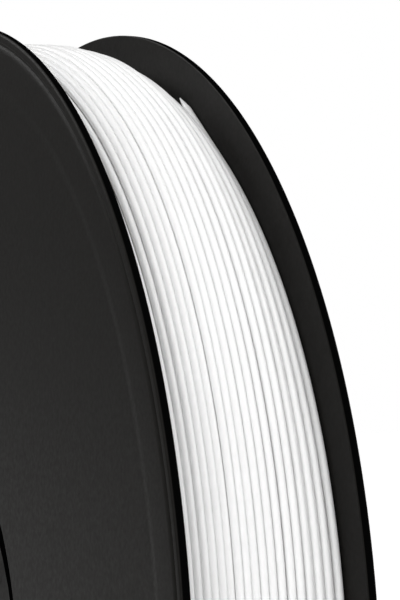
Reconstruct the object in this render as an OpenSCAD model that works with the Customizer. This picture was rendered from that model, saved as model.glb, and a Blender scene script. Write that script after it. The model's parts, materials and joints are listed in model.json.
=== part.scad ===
// Filament spool with a twist-off side. Two thin moulded flanges clamp a hub with a
// spindle bore, and a cardboard core carries the wound strand between them.
// The origin is the centre of the bore. The near side faces -Y, and Z is up.

/* [Flanges] */
// Outer radius of both flanges
flange_r = 150; // [149:1:160]
// Clear width between the flanges
gap_w = 36; // [34:1:40]
// Thickness of a flange's flat web
web_t = 1.7; // [1.5:0.1:1.8]
// Thickness of a flange at its raised rim band
rim_t = 2; // [1.9:0.1:2.4]
// Radial width of the raised rim band
band_w = 10.4; // [8:0.2:11]

/* [Hub] */
// Radius of the spindle bore
bore_r = 27.5; // [26:0.5:27.5]
// Outer radius of the hub barrel
barrel_r = 60; // [59:0.5:62]
// Number of ribs between the bore tube and the barrel
rib_count = 6; // [6:3:12]

/* [Twist lock] */
// Angle that one locking lug covers
lug_angle = 36; // [30:1:38]
// Gap between the faces that lock together
lock_gap = 0.1; // [0.05:0.05:0.2]

/* [Filament] */
// Diameter of the strand
strand_d = 1.75; // [1.7:0.05:1.75]
// Radius of the winding beside the flanges
wound_r = 139.9; // [130:0.1:141]
// Extra radius of the winding halfway between the flanges
crown_h = 6.6; // [1:0.2:7]

/* [Hidden] */
$fn = 96;

half_w = gap_w / 2;
running = 0.08;
overlap = 1;

// Rim of a flange
edge_r = 0.6;
bead_w = 1.9;
groove_w = 1;
groove_d = 0.2;
band_slope = 1.8;
round_steps = 6;

// Dish that each flange pushes into the hub barrel
barrel_wall = 2;
barrel_in_r = barrel_r - barrel_wall;
tube_wall = 2.5;
tube_r = bore_r + tube_wall;
spigot_r = barrel_in_r - running;
dish_wall = 1.8;
floor_in = half_w - 3.3;
floor_out = floor_in + 1.8;
tube_end = half_w - 0.5;

// Windows in the dish floor
window_count = 6;
window_r0 = 45.5;
window_r1 = 54;
window_angle = 36;
window_start = 30;

// Holes near the rim where a loose filament end is parked
parking_r = 144.6;
parking_hole_r = 1.2;
parking_angles = [110, 230, 350];

// Screws, in two groups of three
screw_count = 3;
screw_r = 1.5;
screw_hole_r = 1.75;
pilot_r = 1.52;
head_r = 2.9;
head_t = 1.5;
head_edge = 0.4;
cross_l = 3.4;
cross_w = 0.8;
cross_depth = 0.8;
screw_len = 6;
lock_screw_r = 39;
lock_screw_start = 40;
boss_screw_r = 44;
boss_r = 3.8;

// Hub ribs and bosses
rib_t = 1.6;
rib_top = -2;

// Twist lock
lug_count = 3;
lug_r = tube_r + 5.6;
lug_z0 = 6.4;
lug_z1 = 9.4;
lock_r0 = lug_r + 0.4;
lock_r1 = 42;
lock_depth = 3.5;
shelf_r = tube_r + 0.4;
shelf_t = 2;
shelf_top = lug_z0 - lock_gap;
stop_angle = 3;
stop_gap = 1;
shelf_angle = lug_angle + stop_angle + 4 * stop_gap;

// Cardboard core
core_gap = 0.05;
core_t = 1.5;
core_half = half_w - 0.2;
core_r = barrel_r + core_gap + core_t;

// Winding
side_gap = 0.05;
turn_count = floor((gap_w - 2 * side_gap) / strand_d);
strand_r = strand_d / 2;
turn_sides = 12;
turn_pitch = (gap_w - strand_d - 2 * side_gap) / (turn_count - 1);
layer_gap = 0.04;
crown_power = 2.5;
crown_steps = 24;

// Free end of the strand, beside the far flange
end_angle = 57;
end_gap = 14;
end_len = 26.4;

// Stands the model's own Z axis along -Y, so that angles read as seen from the near side.
module upright()
    rotate([90, 0, 0]) children();

// Ring, or part of one, between two radii and two heights.
module ring(r0, r1, z0, z1, angle = 360, start = 0)
    rotate([0, 0, start])
        rotate_extrude(angle = angle)
            translate([r0, z0])
                square([r1 - r0, z1 - z0]);

// Copies of its children, evenly spaced about the axis.
module spaced(count, start = 0)
    for (i = [0 : count - 1])
        rotate([0, 0, start + i * 360 / count])
            children();

// Hole or post along the axis, at a radius.
module post(at_r, r, z0, z1)
    translate([at_r, 0, z0])
        cylinder(r = r, h = z1 - z0);

// Points of an arc about a centre.
function arc(centre, r, a0, a1) =
    [for (i = [0 : round_steps]) centre + r * [cos(a0 + (a1 - a0) * i / round_steps),
                                               sin(a0 + (a1 - a0) * i / round_steps)]];

// Section of a flange from its rim to its centre hole, as [radius, height].
module flange_section() {
    rim_z = half_w + rim_t;
    web_z = half_w + web_t;
    groove_r = flange_r - bead_w;
    slope_r = flange_r - band_w;
    wall_r = spigot_r - dish_wall;
    polygon(concat(
        [[tube_r + running, floor_in], [spigot_r - edge_r, floor_in],
         [spigot_r, floor_in + edge_r], [spigot_r, half_w]],
        arc([flange_r - edge_r / 2, half_w + edge_r / 2], edge_r / 2, -90, 0),
        arc([flange_r - edge_r, rim_z - edge_r], edge_r, 0, 90),
        [[groove_r, rim_z], [groove_r - groove_w / 3, rim_z - groove_d],
         [groove_r - groove_w * 2 / 3, rim_z - groove_d], [groove_r - groove_w, rim_z],
         [slope_r, rim_z], [slope_r - band_slope, web_z]],
        arc([wall_r + edge_r, web_z - edge_r], edge_r, 90, 180),
        [[wall_r, floor_out], [tube_r + running, floor_out]]
    ));
}

// Flange on the +Z side, with its screw holes at a radius and an angle.
module flange(screws_r, screws_start)
    difference() {
        rotate_extrude() flange_section();
        spaced(screw_count, screws_start)
            post(screws_r, screw_hole_r, floor_in - overlap, floor_out + overlap);
        spaced(window_count, window_start)
            ring(window_r0, window_r1, floor_in - overlap, floor_out + overlap,
                window_angle, -window_angle / 2);
        for (a = parking_angles)
            rotate([0, 0, a])
                post(parking_r, parking_hole_r, half_w - overlap, half_w + rim_t + overlap);
    }

module near_flange()
    color([0.16, 0.16, 0.155])
        upright()
            flange(lock_screw_r, lock_screw_start);

module far_flange()
    color([0.12, 0.12, 0.12])
        upright()
            mirror([0, 0, 1])
                flange(boss_screw_r, 0);

module hub_core()
    color([0.14, 0.14, 0.14])
        upright()
            difference() {
                union() {
                    ring(barrel_in_r, barrel_r, -half_w, half_w - core_gap);
                    ring(bore_r, tube_r, -tube_end, tube_end);
                    spaced(rib_count)
                        translate([tube_r - overlap, -rib_t / 2, -floor_in])
                            cube([barrel_in_r - tube_r + 2 * overlap, rib_t, rib_top + floor_in]);
                    spaced(screw_count)
                        post(boss_screw_r, boss_r, -floor_in, rib_top + overlap);
                    spaced(lug_count)
                        ring(tube_r - overlap, lug_r, lug_z0, lug_z1, lug_angle, -lug_angle / 2);
                }
                spaced(screw_count)
                    post(boss_screw_r, pilot_r, -floor_in - overlap, -floor_in + screw_len);
            }

module refill_core()
    color([0.72, 0.6, 0.45])
        upright()
            ring(barrel_r + core_gap, core_r, -core_half, core_half);

// Ring on the near flange. Its shelves turn behind the hub's lugs, against a stop.
module lock_ring()
    color([0.14, 0.14, 0.14])
        upright()
            difference() {
                union() {
                    ring(lock_r0, lock_r1, lock_depth, floor_in);
                    spaced(lug_count, lug_angle / 2 + stop_gap) {
                        ring(shelf_r, lock_r0 + overlap, shelf_top - shelf_t, shelf_top,
                            shelf_angle, stop_angle + stop_gap - shelf_angle);
                        ring(shelf_r + running, lock_r0 + overlap / 2, shelf_top - shelf_t / 2, lug_z1,
                            stop_angle);
                    }
                }
                spaced(screw_count, lock_screw_start)
                    post(lock_screw_r, pilot_r, floor_in - screw_len, floor_in + overlap);
            }

// Pan-head screw with a cross recess, in the floor of the dish on the +Z side.
module pan_screw()
    difference() {
        union() {
            translate([0, 0, floor_in - screw_len + overlap])
                cylinder(r = screw_r, h = floor_out - floor_in + screw_len - overlap + head_edge);
            rotate_extrude()
                polygon([[0, floor_out], [head_r, floor_out], [head_r, floor_out + head_t - head_edge],
                         [head_r - head_edge, floor_out + head_t], [0, floor_out + head_t]]);
        }
        for (a = [0, 90])
            rotate([0, 0, a])
                translate([-cross_l / 2, -cross_w / 2, floor_out + head_t - cross_depth])
                    cube([cross_l, cross_w, cross_depth + overlap]);
    }

module near_flange_screws()
    color([0.7, 0.7, 0.72])
        upright()
            spaced(screw_count, lock_screw_start)
                translate([lock_screw_r, 0, 0])
                    pan_screw();

module far_flange_screws()
    color([0.7, 0.7, 0.72])
        upright()
            mirror([0, 0, 1])
                spaced(screw_count)
                    translate([boss_screw_r, 0, 0])
                        pan_screw();

// Centre radius of the outer layer at a height between the flanges, and its slope there.
function layer_r(z) = wound_r - strand_r + crown_h * (1 - pow(abs(z) / half_w, crown_power));
function layer_slope(z) = crown_h * crown_power / half_w * pow(abs(z) / half_w, crown_power - 1);

// Height of one turn of the outer layer, counted from the far flange.
function turn_z(i) = -half_w + side_gap + strand_r + i * turn_pitch;

// Surface that the outer layer rests on.
function bed_r(z) = layer_r(z) - (strand_r + layer_gap) * sqrt(1 + pow(layer_slope(z), 2));

// One turn of the outer layer, or part of it.
module turn(i, angle = 360, start = 0)
    rotate([0, 0, start])
        rotate_extrude(angle = angle)
            translate([layer_r(turn_z(i)), turn_z(i)])
                circle(r = strand_r, $fn = turn_sides);

// The layers under the outer one, as one solid with the same crown.
module filament_inner_winding()
    color([0.93, 0.93, 0.92])
        upright()
            rotate_extrude()
                polygon(concat(
                    [[core_r + layer_gap, half_w - side_gap], [core_r + layer_gap, -half_w + side_gap]],
                    [for (i = [0 : crown_steps])
                        let (z = (-half_w + side_gap) * (1 - 2 * i / crown_steps))
                        [bed_r(z), z]]
                ));

module filament_outer_layer()
    color([0.95, 0.95, 0.94])
        upright()
            for (i = [1 : turn_count - 1])
                turn(i);

// The last turn lies beside the far flange and stops short of a full circle.
module filament_last_turn()
    color([0.96, 0.96, 0.95])
        upright()
            turn(0, 360 - end_gap, end_angle + end_gap);

// The free end leaves the last turn along its tangent.
module filament_tail()
    color([0.96, 0.96, 0.95])
        upright()
            rotate([0, 0, end_angle])
                translate([layer_r(turn_z(0)), 0, turn_z(0)])
                    rotate([-90, 0, 0])
                        cylinder(r = strand_r, h = end_len);

near_flange();
far_flange();
hub_core();
refill_core();
lock_ring();
near_flange_screws();
far_flange_screws();
filament_inner_winding();
filament_outer_layer();
filament_last_turn();
filament_tail();
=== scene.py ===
import json
import math

import bpy
import numpy as np
from mathutils import Matrix, Vector


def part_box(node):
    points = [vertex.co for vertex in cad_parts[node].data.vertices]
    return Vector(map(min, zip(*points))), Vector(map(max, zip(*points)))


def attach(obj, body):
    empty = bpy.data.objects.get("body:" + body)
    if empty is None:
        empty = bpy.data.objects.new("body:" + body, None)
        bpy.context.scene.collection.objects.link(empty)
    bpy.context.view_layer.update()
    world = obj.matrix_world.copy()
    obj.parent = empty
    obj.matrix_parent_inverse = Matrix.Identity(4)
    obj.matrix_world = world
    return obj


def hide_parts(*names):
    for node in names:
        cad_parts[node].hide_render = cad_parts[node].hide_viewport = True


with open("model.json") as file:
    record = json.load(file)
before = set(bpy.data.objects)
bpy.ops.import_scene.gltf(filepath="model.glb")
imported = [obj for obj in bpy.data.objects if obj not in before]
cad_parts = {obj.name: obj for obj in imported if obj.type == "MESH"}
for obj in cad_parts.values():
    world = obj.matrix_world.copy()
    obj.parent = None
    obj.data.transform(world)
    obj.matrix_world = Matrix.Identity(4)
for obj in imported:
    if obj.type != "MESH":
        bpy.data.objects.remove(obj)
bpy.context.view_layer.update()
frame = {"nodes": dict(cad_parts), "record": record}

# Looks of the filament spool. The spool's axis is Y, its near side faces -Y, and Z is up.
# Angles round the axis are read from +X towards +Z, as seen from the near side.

MM = 0.001
TURN = 2 * math.pi

# ---------------------------------------------------------------- sizes, from the frame

near_low, near_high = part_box("near_flange")
bed_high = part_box("filament_inner_winding")[1]
core_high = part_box("refill_core")[1]
hub_mount = next(m for m in frame["record"]["mounts"] if m["name"] == "hub_bore")

flange_r = near_high.x
side_gap = 0.05 * MM
half_gap = bed_high.y + side_gap
rim_top = -near_low.y
floor_in = -near_high.y
bore_r = hub_mount["dims"]["r_mm"] * MM
tube_wall = 2.5 * MM
tube_r = bore_r + tube_wall
strand_r = 0.875 * MM

# Flange details
band_step = 0.3 * MM
web_top = rim_top - band_step
spigot_r = 57.92 * MM
dish_wall = 1.8 * MM
floor_out = floor_in + dish_wall
running_gap = 0.08 * MM
edge_r = 0.6 * MM
bead_w = 1.9 * MM
groove_w = 1.1 * MM
groove_d = 0.25 * MM
band_w = 10.4 * MM
band_slope = 3.4 * MM
band_dome = 0.05 * MM
window_count = 6
window_r0 = 45.6 * MM
window_r1 = 53.9 * MM
window_half_angle = math.radians(17.8)
window_corner = 7
window_points = 64
hole_points = 32
cut_margin = 1 * MM
parking_r = 144.6 * MM
parking_hole_r = 1.2 * MM
parking_angles = (110, 230, 350)
screws_per_flange = 3
near_screws = (39 * MM, 40)
far_screws = (44 * MM, 0)
screw_hole_r = 1.75 * MM
lathe_segments = 720
arc_steps = 8

# Winding: twenty turns from flange to flange
tight_edge_r = 140.2 * MM
slack_edge_r = 138.3 * MM
tight_crown = 1.2 * MM
slack_crown = 7.6 * MM
slack_angles = (5, 60, 110, 160)
crown_power = 2.5
turn_pitches = 19
first_y = -half_gap + side_gap + strand_r
turn_pitch = -2 * first_y / turn_pitches
steps_per_turn = 240
strand_sides = 14
under_sides = 10
bed_steps = 24
bed_segments = 240
layer_drop = 1.66 * MM
under_drop = 0.95 * MM

# Close turns lie high and low by turns, the pitch grows towards the far flange, and the first
# turn climbs from the layer below in a tenth of a turn
nest_share = 0.16
swap_speed = 6
narrow_pitch = 0.75
pitch_growth = 0.38
pitch_steps = 400
start_ramp = 0.1

# Slow waves along the turns: size in mm, waves per turn, and where the wave starts
side_waves = ((0.06, 0.37, 0.6), (0.05, 0.21, 2.1))
height_waves = ((0.09, 0.41, 1.0), (0.07, 0.29, 0.0))

# Free end beside the far flange, with its tip cut to a point
end_angle = math.radians(57)
end_len = 27.4 * MM
tip_len = 5 * MM
tip_share = 0.15
tail_steps = 40
cap_len = 0.35
cap_share = 0.72


# ---------------------------------------------------------------- mesh helpers

def add_mesh(name, verts, faces, smooth_angle=35):
    mesh = bpy.data.meshes.new(name)
    mesh.from_pydata([tuple(v) for v in verts], [], faces)
    mesh.validate()
    mesh.update()
    mesh.shade_smooth()
    mesh.set_sharp_from_angle(angle=math.radians(smooth_angle))
    piece = bpy.data.objects.new(name, mesh)
    bpy.context.scene.collection.objects.link(piece)
    return piece


def apply_modifiers(piece, smooth_angle=35):
    depsgraph = bpy.context.evaluated_depsgraph_get()
    mesh = bpy.data.meshes.new_from_object(piece.evaluated_get(depsgraph))
    piece.modifiers.clear()
    piece.data = mesh
    mesh.shade_smooth()
    mesh.set_sharp_from_angle(angle=math.radians(smooth_angle))


def lathe(name, section, segments=lathe_segments):
    """Turns a closed section of (radius, y) points about the Y axis."""
    count = len(section)
    verts = []
    for i in range(segments):
        a = TURN * i / segments
        verts += [(r * math.cos(a), y, r * math.sin(a)) for r, y in section]
    faces = []
    for i in range(segments):
        j = (i + 1) % segments
        for k in range(count):
            m = (k + 1) % count
            faces.append((i * count + k, j * count + k, j * count + m, i * count + m))
    following = section[1:] + section[:1]
    area = sum(r0 * y1 - r1 * y0 for (r0, y0), (r1, y1) in zip(section, following))
    if area > 0:
        faces = [f[::-1] for f in faces]
    return add_mesh(name, verts, faces)


def prism(outline, y0, y1):
    """Closed prism over an (x, z) outline, as vertices and faces."""
    n = len(outline)
    verts = [(x, y0, z) for x, z in outline] + [(x, y1, z) for x, z in outline]
    faces = [tuple(range(n)), tuple(reversed(range(n, 2 * n)))]
    faces += [(i, i + n, (i + 1) % n + n, (i + 1) % n) for i in range(n)]
    return verts, faces


def circle_outline(at_r, at_angle, r, count=hole_points):
    cx = at_r * math.cos(at_angle)
    cz = at_r * math.sin(at_angle)
    turned = [TURN * i / count for i in range(count)]
    return [(cx + r * math.cos(a), cz + r * math.sin(a)) for a in turned]


def window_outline(at_angle, count=window_points):
    """Curved slot with rounded corners."""
    points = []
    power = 2 / window_corner
    middle_r = (window_r0 + window_r1) / 2
    for i in range(count):
        t = TURN * i / count
        along = math.copysign(abs(math.cos(t)) ** power, math.cos(t))
        across = math.copysign(abs(math.sin(t)) ** power, math.sin(t))
        r = middle_r + across * (window_r1 - window_r0) / 2
        a = at_angle - along * window_half_angle
        points.append((r * math.cos(a), r * math.sin(a)))
    return points


def cut(piece, outlines, y0, y1):
    """Cuts prisms out of a piece."""
    verts, faces = [], []
    for outline in outlines:
        v, f = prism(outline, y0, y1)
        faces += [tuple(i + len(verts) for i in face) for face in f]
        verts += v
    cutter = add_mesh("cutter", verts, faces)
    boolean = piece.modifiers.new("cut", "BOOLEAN")
    boolean.operation = "DIFFERENCE"
    boolean.solver = "EXACT"
    boolean.object = cutter
    apply_modifiers(piece)
    bpy.data.objects.remove(cutter)


def arc(cx, cy, r, a0, a1, steps=arc_steps):
    angles = [math.radians(a0 + (a1 - a0) * i / steps) for i in range(steps + 1)]
    return [(cx + r * math.cos(a), cy + r * math.sin(a)) for a in angles]


# ---------------------------------------------------------------- flanges

def flange_section():
    """(radius, distance from the middle plane), from the hub outwards and back."""
    groove_r = flange_r - bead_w
    band_r = groove_r - groove_w
    slope_r = flange_r - band_w
    wall_r = spigot_r - dish_wall
    hole_r = tube_r + running_gap
    points = [(hole_r, floor_in)]
    points += arc(spigot_r - edge_r, floor_in + edge_r, edge_r, -90, 0)
    points += arc(spigot_r + edge_r / 2, half_gap - edge_r / 2, edge_r / 2, 180, 90)
    points += arc(flange_r - edge_r / 2, half_gap + edge_r / 2, edge_r / 2, -90, 0)
    points += arc(flange_r - edge_r, rim_top - edge_r, edge_r, 0, 90)
    points += arc(groove_r + edge_r / 2, rim_top - edge_r / 2, edge_r / 2, 90, 160)
    points += arc(groove_r - groove_w / 2, rim_top - groove_d / 2, groove_w / 4, -30, -150)
    for i in range(arc_steps + 1):
        t = i / arc_steps
        height = rim_top - band_dome + band_dome * math.sin(math.pi * t)
        points.append((band_r + t * (slope_r - band_r), height))
    for i in range(1, arc_steps + 1):
        t = i / arc_steps
        drop = (rim_top - band_dome - web_top) * (1 - math.cos(math.pi * t)) / 2
        points.append((slope_r - t * band_slope, rim_top - band_dome - drop))
    points += arc(wall_r + edge_r, web_top - edge_r, edge_r, 90, 180)
    points += arc(wall_r - edge_r, floor_out + edge_r, edge_r, 0, -90)
    points.append((hole_r, floor_out))
    return points


def make_flange(name, side, screws, body, material):
    """Flange on the near side (-1) or the far side (1), with its windows and holes."""
    section = [(r, side * h) for r, h in flange_section()]
    piece = lathe(name, section)
    windows = [window_outline(TURN * (i + 0.5) / window_count) for i in range(window_count)]
    screw_r, screw_start = screws
    start = math.radians(screw_start)
    screw_angles = [start + TURN * i / screws_per_flange for i in range(screws_per_flange)]
    holes = [circle_outline(screw_r, a, screw_hole_r) for a in screw_angles]
    parking = [circle_outline(parking_r, math.radians(a), parking_hole_r) for a in parking_angles]
    low, high = sorted((side * (floor_in - cut_margin), side * (rim_top + cut_margin)))
    cut(piece, windows + holes + parking, low, high)
    piece.data.materials.clear()
    piece.data.materials.append(material)
    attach(piece, body)
    return piece


# ---------------------------------------------------------------- winding

def smooth_step(value, low, high):
    t = np.clip((value - low) / (high - low), 0, 1)
    return t * t * (3 - 2 * t)


def slack_at(angles):
    """0 where the turns lie tight, 1 where they bulge: near the top, where the free end springs off."""
    degrees = np.degrees(angles) % 360
    rise_from, rise_to, fall_from, fall_to = slack_angles
    return smooth_step(degrees, rise_from, rise_to) * (1 - smooth_step(degrees, fall_from, fall_to))


def layer_r(y, slack):
    """Centre radius of the outer layer at a distance along the axis."""
    edge = tight_edge_r + (slack_edge_r - tight_edge_r) * slack
    crown = tight_crown + (slack_crown - tight_crown) * slack
    return edge + crown * (1 - (np.abs(y) / half_gap) ** crown_power)


def pitch_share(t):
    """Relative pitch of the turns, for t from 0 at the near flange to 1 at the far one."""
    return narrow_pitch + pitch_growth * t ** 2


def waves(parts, turns):
    return sum(height * np.sin(TURN * rate * turns + start) for height, rate, start in parts) * MM


def turn_place(turns):
    """Distance along the axis after so many turns, and the pitch there."""
    fine = np.linspace(0, 1, pitch_steps)
    share = pitch_share(fine)
    reach = np.concatenate([[0], np.cumsum((share[1:] + share[:-1]) / 2)])
    t = np.clip(turns / turn_pitches, 0, 1)
    ys = first_y - 2 * first_y * np.interp(t, fine, reach / reach[-1])
    pitch = turn_pitch * pitch_share(t) / share.mean()
    free = np.clip(np.minimum(turns, turn_pitches - turns), 0, 1)
    return ys + waves(side_waves, turns) * free, pitch


def lift(turns, pitch):
    """Radial offset. Turns closer than a strand's width lie alternately high and low."""
    nest = nest_share * np.sqrt(np.clip(4 * strand_r ** 2 - pitch ** 2, 0, None))
    swap = np.tanh(swap_speed * np.cos(math.pi * turns))
    return nest * swap + waves(height_waves, turns)


def sweep(name, path, radii, sides, material):
    """A round strand along a path of points, with closed rounded ends."""
    tangent = np.gradient(path, axis=0)
    tangent /= np.linalg.norm(tangent, axis=1)[:, None]
    across = np.array([0.0, 1.0, 0.0]) - tangent * tangent[:, 1:2]
    across /= np.linalg.norm(across, axis=1)[:, None]
    outward = np.cross(across, tangent)
    outward *= np.sign((outward * path).sum(1))[:, None]
    angles = TURN * np.arange(sides) / sides
    round_out = np.cos(angles)[None, :, None] * outward[:, None]
    round_across = np.sin(angles)[None, :, None] * across[:, None]
    ring = radii[:, None, None] * (round_out + round_across)
    caps = []
    for at, sign in ((0, -1), (-1, 1)):
        caps.append(path[at] + sign * tangent[at] * radii[at] * cap_len + ring[at] * cap_share)
    rings = np.concatenate([caps[0][None], path[:, None] + ring, caps[1][None]])
    count = len(rings)
    verts = rings.reshape(-1, 3)
    faces = []
    for i in range(count - 1):
        for k in range(sides):
            m = (k + 1) % sides
            faces.append((i * sides + k, i * sides + m, (i + 1) * sides + m, (i + 1) * sides + k))
    faces.append(tuple(range(sides)))
    faces.append(tuple(reversed(range((count - 1) * sides, count * sides))))
    piece = add_mesh(name, verts, faces, smooth_angle=60)
    flip_if_inside_out(piece)
    piece.data.materials.append(material)
    return piece


def flip_if_inside_out(piece):
    mesh = piece.data
    volume = 0.0
    for p in mesh.polygons:
        volume += p.center.dot(p.normal) * p.area
    if volume < 0:
        mesh.flip_normals()


def ring_points(angles, radii, ys):
    return np.stack([radii * np.cos(angles), ys, radii * np.sin(angles)], axis=-1)


def make_strand(material):
    """The outer layer, wound from the near flange to the far one, and its free end."""
    turns = np.linspace(-1, turn_pitches, (turn_pitches + 1) * steps_per_turn)
    angles = end_angle + TURN * (turns - turn_pitches)
    ys, pitch = turn_place(turns)
    risen = smooth_step(turns, -1, start_ramp - 1)
    settle = np.clip(turn_pitches - turns, 0, 1)
    radii = layer_r(ys, slack_at(angles)) + lift(turns, pitch) * settle - layer_drop * (1 - risen)
    path = ring_points(angles, radii, ys)
    direction = np.array([-math.sin(end_angle), 0.0, math.cos(end_angle)])
    lengths = np.linspace(0, end_len, tail_steps)[1:]
    path = np.concatenate([path, path[-1] + lengths[:, None] * direction])
    before_tip = np.clip((lengths[-1] - lengths) / tip_len, 0, 1)
    thickness = np.concatenate([np.ones(len(angles)), tip_share + (1 - tip_share) * before_tip])
    piece = sweep("wound_strand", path, strand_r * thickness, strand_sides, material)
    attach(piece, "hub")
    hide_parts("filament_outer_layer", "filament_last_turn", "filament_tail")


def make_under_layer(material):
    """The layer that shows in the gaps of the outer one, wound back the other way."""
    turns = np.linspace(0, turn_pitches, turn_pitches * steps_per_turn)
    angles = TURN * turns
    ys = -first_y - turns * turn_pitch
    path = ring_points(angles, layer_r(ys, slack_at(angles)) - under_drop, ys)
    piece = sweep("under_layer", path, np.full(len(path), strand_r), under_sides, material)
    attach(piece, "hub")
    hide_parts("filament_inner_winding")


def make_bed(material):
    """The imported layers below, closed off from the light."""
    ys = np.linspace(-half_gap + side_gap, half_gap - side_gap, bed_steps + 1)
    tops = layer_r(ys, 0) - under_drop - layer_drop
    core_r = core_high.x + side_gap
    section = [(core_r, ys[-1]), (core_r, ys[0])] + [(float(r), float(y)) for r, y in zip(tops, ys)]
    piece = lathe("winding_bed", section, bed_segments)
    piece.data.materials.append(material)
    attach(piece, "hub")


# ---------------------------------------------------------------- materials

# Black plastic: painted shade on the edge faces (near-black colour, and no gloss there), gloss of the
# flat faces, and where one turns into the other
edge_painted_shade = (0.0015, 0.0015, 0.0015, 1)
face_gloss = 0.06
edge_shade_to_face = (0.2, 0.6)


class Nodes:
    """A node tree with short calls for the nodes used here."""

    def __init__(self, name):
        self.material = bpy.data.materials.new(name)
        self.material.use_nodes = True
        self.tree = self.material.node_tree
        self.bsdf = self.tree.nodes["Principled BSDF"]
        self.place = self.tree.nodes.new("ShaderNodeTexCoord").outputs["Object"]

    def link(self, source, target):
        self.tree.links.new(source, target)

    def noise(self, scale, detail=4, roughness=0.55, vector=None):
        node = self.tree.nodes.new("ShaderNodeTexNoise")
        node.inputs["Scale"].default_value = scale
        node.inputs["Detail"].default_value = detail
        node.inputs["Roughness"].default_value = roughness
        self.link(vector or self.place, node.inputs["Vector"])
        return node.outputs["Fac"]

    def stretch(self, scale):
        node = self.tree.nodes.new("ShaderNodeMapping")
        node.inputs["Scale"].default_value = scale
        self.link(self.place, node.inputs["Vector"])
        return node.outputs["Vector"]

    def ramp(self, source, low, high, start=0.3, end=0.7):
        node = self.tree.nodes.new("ShaderNodeValToRGB")
        node.color_ramp.elements[0].position = start
        node.color_ramp.elements[1].position = end
        node.color_ramp.elements[0].color = (*low, 1)
        node.color_ramp.elements[1].color = (*high, 1)
        self.link(source, node.inputs["Fac"])
        return node.outputs["Color"]

    def span(self, source, low, high, start=0.3, end=0.7):
        node = self.tree.nodes.new("ShaderNodeMapRange")
        node.inputs["From Min"].default_value = start
        node.inputs["From Max"].default_value = end
        node.inputs["To Min"].default_value = low
        node.inputs["To Max"].default_value = high
        self.link(source, node.inputs["Value"])
        return node.outputs["Result"]

    def scaled(self, source, share):
        node = self.tree.nodes.new("ShaderNodeMath")
        node.operation = "MULTIPLY"
        node.inputs[1].default_value = share
        self.link(source, node.inputs[0])
        return node.outputs["Value"]

    def axis_facing(self):
        """1 on faces that look along the axis, 0 on those that look away from it."""
        split = self.tree.nodes.new("ShaderNodeSeparateXYZ")
        self.link(self.tree.nodes.new("ShaderNodeTexCoord").outputs["Normal"], split.inputs["Vector"])
        size = self.tree.nodes.new("ShaderNodeMath")
        size.operation = "ABSOLUTE"
        self.link(split.outputs["Y"], size.inputs[0])
        return self.span(size.outputs["Value"], 0, 1, *edge_shade_to_face)

    def bump(self, height, distance, strength=1.0):
        node = self.tree.nodes.new("ShaderNodeBump")
        node.inputs["Strength"].default_value = strength
        node.inputs["Distance"].default_value = distance
        self.link(height, node.inputs["Height"])
        return node.outputs["Normal"]

    def set(self, **values):
        for name, value in values.items():
            self.bsdf.inputs[name.replace("_", " ")].default_value = value


def black_plastic(name, low, high, roughness):
    """Matt black on the flat faces, and painted shade on the edges that run round the axis: a deeper
    black and no gloss there.
    """
    n = Nodes(name)
    # face is 0 on the edge faces, where shade is painted in as a near-black colour with no gloss, and 1
    # on the flat faces
    face = n.axis_facing()
    shade = n.tree.nodes.new("ShaderNodeMix")
    shade.data_type = "RGBA"
    shade.inputs["A"].default_value = edge_painted_shade
    n.link(n.ramp(n.noise(400, 6, 0.7), low, high), shade.inputs["B"])
    n.link(face, shade.inputs["Factor"])
    n.link(shade.outputs["Result"], n.bsdf.inputs["Base Color"])
    n.link(n.scaled(face, face_gloss), n.bsdf.inputs["Specular IOR Level"])
    n.link(n.span(n.noise(900, 4), roughness - 0.05, roughness + 0.06), n.bsdf.inputs["Roughness"])
    n.link(n.bump(n.noise(2600, 2), 0.02 * MM, 0.6), n.bsdf.inputs["Normal"])
    return n.material


def white_strand(name, low, high):
    n = Nodes(name)
    n.link(n.ramp(n.noise(90, 3), low, high), n.bsdf.inputs["Base Color"])
    n.link(n.span(n.noise(400, 3), 0.3, 0.42), n.bsdf.inputs["Roughness"])
    n.link(n.bump(n.noise(1500, 2), 0.01 * MM, 0.5), n.bsdf.inputs["Normal"])
    n.set(Specular_IOR_Level=0.4, Subsurface_Weight=0.6, Subsurface_Scale=1.5 * MM,
          Subsurface_Radius=(1, 1, 1))
    return n.material


def cardboard():
    n = Nodes("brown_board")
    fibres = n.noise(900, 6, 0.65, n.stretch((1, 0.15, 1)))
    n.link(n.ramp(fibres, (0.24, 0.15, 0.085), (0.42, 0.29, 0.18)), n.bsdf.inputs["Base Color"])
    n.link(n.bump(fibres, 0.08 * MM), n.bsdf.inputs["Normal"])
    n.set(Roughness=0.9)
    return n.material


def zinc_steel():
    n = Nodes("zinc_steel")
    n.link(n.ramp(n.noise(800, 4), (0.5, 0.5, 0.52), (0.72, 0.72, 0.74)), n.bsdf.inputs["Base Color"])
    n.link(n.span(n.noise(1800, 3), 0.22, 0.4), n.bsdf.inputs["Roughness"])
    n.link(n.bump(n.noise(2500, 2), 0.01 * MM, 0.5), n.bsdf.inputs["Normal"])
    n.set(Metallic=1.0)
    return n.material


def dress(node, material):
    """Gives a carried CAD node its material."""
    piece = frame["nodes"][node]
    piece.data.materials.clear()
    piece.data.materials.append(material)


# ---------------------------------------------------------------- light, floor and camera

# The studio is bright towards the upper right, and dim on the opposite side.
soft_side = (0.75, 0.1, 0.63)
soft_range = (-0.5, 0.9)
soft_glow = (0.12, 1.0)

# Lights: name, place, size and power
light_target = (0, 0, 0.05)
lights = (
    ("key", (0.55, 0.15, 1.2), 0.6, 1.8),
    ("front_fill", (0.9, -0.8, 0.3), 0.8, 3),
    ("left_fill", (-0.9, -0.6, 0.9), 0.8, 7),
)

floor_half = 4.0
floor_glow = 0.42

# Camera: where it stands, and how it is turned
camera_bearing = math.radians(70.84)
camera_distance = 603.64 * MM
camera_height = 83.94 * MM
camera_azimuth = math.radians(66.884)
camera_up = math.radians(0.32)
camera_roll = math.radians(0.975)
camera_lens = 151.76
camera_sensor = 36
camera_clip = 0.01


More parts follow.
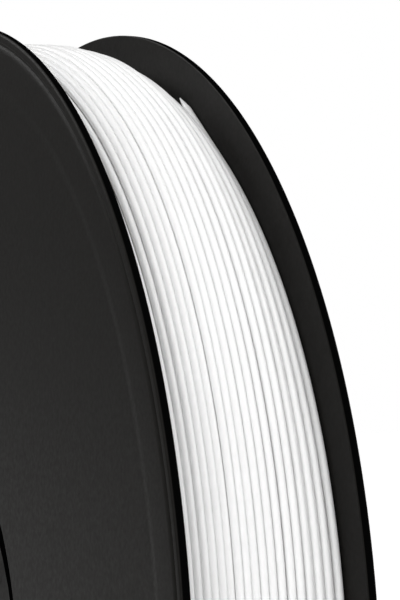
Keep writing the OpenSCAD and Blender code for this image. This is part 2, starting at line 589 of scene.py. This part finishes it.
def make_world():
    """White to the camera, and brighter on the soft side to everything else."""
    world = bpy.data.worlds.new("studio")
    bpy.context.scene.world = world
    world.use_nodes = True
    tree = world.node_tree
    background = tree.nodes["Background"]
    path = tree.nodes.new("ShaderNodeLightPath")
    direction = tree.nodes.new("ShaderNodeTexCoord").outputs["Generated"]
    facing = tree.nodes.new("ShaderNodeVectorMath")
    facing.operation = "DOT_PRODUCT"
    facing.inputs[1].default_value = Vector(soft_side).normalized()
    tree.links.new(direction, facing.inputs[0])
    glow = tree.nodes.new("ShaderNodeMapRange")
    glow.interpolation_type = "SMOOTHSTEP"
    glow.inputs["From Min"].default_value, glow.inputs["From Max"].default_value = soft_range
    glow.inputs["To Min"].default_value, glow.inputs["To Max"].default_value = soft_glow
    tree.links.new(facing.outputs["Value"], glow.inputs["Value"])
    mix = tree.nodes.new("ShaderNodeMix")
    mix.data_type = "RGBA"
    mix.inputs["B"].default_value = (1, 1, 1, 1)
    tree.links.new(glow.outputs["Result"], mix.inputs["A"])
    tree.links.new(path.outputs["Is Camera Ray"], mix.inputs["Factor"])
    tree.links.new(mix.outputs["Result"], background.inputs["Color"])


def area_light(name, place, size, power):
    light = bpy.data.lights.new(name, "AREA")
    light.size = size
    light.energy = power
    lamp = bpy.data.objects.new(name, light)
    lamp.location = place
    lamp.rotation_euler = (Vector(light_target) - Vector(place)).to_track_quat("-Z", "Y").to_euler()
    bpy.context.scene.collection.objects.link(lamp)


def make_floor():
    """Pale floor, lifted towards white where the camera sees it."""
    corners = ((-1, -1), (1, -1), (1, 1), (-1, 1))
    verts = [(x * floor_half, y * floor_half, -flange_r) for x, y in corners]
    floor = add_mesh("floor", verts, [(0, 1, 2, 3)])
    n = Nodes("pale_floor")
    n.link(n.ramp(n.noise(6, 3), (0.84, 0.84, 0.84), (0.88, 0.88, 0.88)), n.bsdf.inputs["Base Color"])
    seen = n.tree.nodes.new("ShaderNodeLightPath").outputs["Is Camera Ray"]
    n.link(n.scaled(seen, floor_glow), n.bsdf.inputs["Emission Strength"])
    n.set(Roughness=0.8, Emission_Color=(1, 1, 1, 1))
    floor.data.materials.append(n.material)


def make_camera():
    """Stands on the near side, to the right, and looks level past the upper right of the spool."""
    forward = Vector((-math.sin(camera_azimuth) * math.cos(camera_up),
                      math.cos(camera_azimuth) * math.cos(camera_up), math.sin(camera_up)))
    level_right = forward.cross(Vector((0, 0, 1))).normalized()
    level_up = level_right.cross(forward)
    right = level_right * math.cos(camera_roll) + level_up * math.sin(camera_roll)
    up = right.cross(forward)
    data = bpy.data.cameras.new("camera")
    data.sensor_width = camera_sensor
    data.lens = camera_lens
    data.clip_start = camera_clip
    camera = bpy.data.objects.new("camera", data)
    turn = Matrix((right, up, -forward)).transposed().to_4x4()
    place = Vector((camera_distance * math.sin(camera_bearing),
                    -camera_distance * math.cos(camera_bearing), camera_height))
    camera.matrix_world = Matrix.Translation(place) @ turn
    bpy.context.scene.collection.objects.link(camera)
    bpy.context.scene.camera = camera


# ---------------------------------------------------------------- build

flange_black = black_plastic("flange_black", (0.0078, 0.0073, 0.0066), (0.0106, 0.0100, 0.0091), 0.5)
hub_black = black_plastic("hub_black", (0.012, 0.012, 0.012), (0.018, 0.018, 0.018), 0.5)
strand_white = white_strand("strand_white", (0.89, 0.89, 0.888), (0.93, 0.93, 0.928))
steel = zinc_steel()

near = make_flange("near_flange_shell", -1, near_screws, "near_side", flange_black)
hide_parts("near_flange")
far = make_flange("far_flange_shell", 1, far_screws, "hub", flange_black)
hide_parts("far_flange")
make_strand(strand_white)
make_under_layer(strand_white)
make_bed(strand_white)
dress("hub_core", hub_black)
dress("lock_ring", hub_black)
dress("refill_core", cardboard())
dress("near_flange_screws", steel)
dress("far_flange_screws", steel)

make_world()
for light in lights:
    area_light(*light)
make_floor()
make_camera()
bpy.context.scene.view_settings.view_transform = "Standard"
